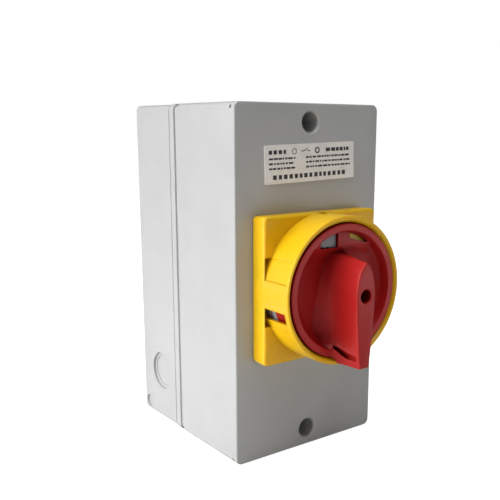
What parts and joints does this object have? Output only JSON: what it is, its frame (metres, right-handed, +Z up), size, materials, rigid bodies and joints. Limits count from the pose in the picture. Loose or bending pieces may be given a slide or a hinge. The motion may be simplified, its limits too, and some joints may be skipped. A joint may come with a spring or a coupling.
{
  "type": "rotary isolator switch",
  "caption": "Wall-box rotary isolator: grey enclosure with lift-off cover, yellow padlock plate, red quarter-turn handle and a stacked contact block inside.",
  "frame": {"origin": "centre of the enclosure's rear mounting face, in the wall's plane", "axes": "+Z up, +X to the right seen from the front, -Y out of the wall towards the handle; the handle and rotor turn about the Y axis"},
  "size_m": [0.0816, 0.1259, 0.16],
  "materials": {
    "enclosure_grey": "satin moulded thermoplastic, light grey",
    "lock_yellow": "satin moulded thermoplastic, signal yellow",
    "handle_red": "satin moulded thermoplastic, signal red",
    "lock_grey": "fine matte moulding, mid grey",
    "label_silver": "printed silver film",
    "seal_black": "matte rubber",
    "deck_black": "glass-filled moulding, black",
    "rotor_cream": "filled moulding, cream",
    "brass": "drawn brass, lightly tarnished",
    "copper": "rolled copper",
    "zinc_steel": "zinc-plated steel"
  },
  "bodies": {
    "base": {"rear_enclosure": "enclosure_grey", "cover_gasket": "seal_black", "switch_mounting_plate": "zinc_steel", "switch_mount_screw_top": "zinc_steel", "switch_mount_screw_bottom": "zinc_steel", "detent_cap": "zinc_steel", "tie_bolt_left": "zinc_steel", "tie_bolt_right": "zinc_steel", "detent_spring_left": "zinc_steel", "detent_spring_right": "zinc_steel", "contact_deck_rear": "deck_black", "contact_deck_front": "deck_black", "detent_housing": "deck_black", "earth_bar": "brass", "earth_screw_left": "brass", "earth_screw_right": "brass", "fixed_contact_rear_top_left": "brass", "fixed_contact_rear_top_right": "brass", "fixed_contact_rear_bottom_left": "brass", "fixed_contact_rear_bottom_right": "brass", "fixed_contact_front_top_left": "brass", "fixed_contact_front_top_right": "brass", "fixed_contact_front_bottom_left": "brass", "fixed_contact_front_bottom_right": "brass", "terminal_screw_rear_top_left": "zinc_steel", "terminal_screw_rear_top_right": "zinc_steel", "terminal_screw_rear_bottom_left": "zinc_steel", "terminal_screw_rear_bottom_right": "zinc_steel", "terminal_screw_front_top_left": "zinc_steel", "terminal_screw_front_top_right": "zinc_steel", "terminal_screw_front_bottom_left": "zinc_steel", "terminal_screw_front_bottom_right": "zinc_steel"},
    "cover": {"front_cover": "enclosure_grey", "cover_screw_top": "zinc_steel", "cover_screw_bottom": "zinc_steel", "padlock_plate": "lock_yellow", "plate_gasket": "seal_black", "lock_ring": "lock_grey", "rating_label": "label_silver", "shaft_seal": "seal_black", "padlock_plate_screw_1": "zinc_steel", "padlock_plate_screw_2": "zinc_steel", "padlock_plate_screw_3": "zinc_steel", "padlock_plate_screw_4": "zinc_steel"},
    "handle": {"rotary_handle": "handle_red", "lock_slide": "lock_grey", "lock_flag": "lock_yellow", "drive_bush": "deck_black", "handle_screw": "zinc_steel"},
    "rotor": {"switch_shaft": "zinc_steel", "rotor_rear": "rotor_cream", "rotor_front": "rotor_cream", "detent_star": "rotor_cream", "moving_blade_rear_left": "copper", "moving_blade_rear_right": "copper", "moving_blade_front_left": "copper", "moving_blade_front_right": "copper"},
    "plunger_left": {"detent_plunger_left": "zinc_steel"},
    "plunger_right": {"detent_plunger_right": "zinc_steel"}
  },
  "joints": [
    {"name": "cover_lift", "type": "slide", "parent": "base", "child": "cover", "axis": [0, -1, 0], "range_m": [0, 0.07]},
    {"name": "handle_turn", "type": "hinge", "parent": "cover", "child": "handle", "pos_m": [0, -0.1, 0], "axis": [0, 1, 0], "range_deg": [0, 90]},
    {"name": "rotor_turn", "type": "hinge", "parent": "base", "child": "rotor", "pos_m": [0, -0.04, 0], "axis": [0, 1, 0], "range_deg": [0, 90]},
    {"name": "plunger_left_slide", "type": "slide", "parent": "base", "child": "plunger_left", "axis": [1, 0, 0], "range_m": [0, 0.0025]},
    {"name": "plunger_right_slide", "type": "slide", "parent": "base", "child": "plunger_right", "axis": [-1, 0, 0], "range_m": [0, 0.0025]}
  ],
  "couplings": [
    {"joint": "rotor_turn", "follows": "handle_turn", "ratio": 1}
  ]
}
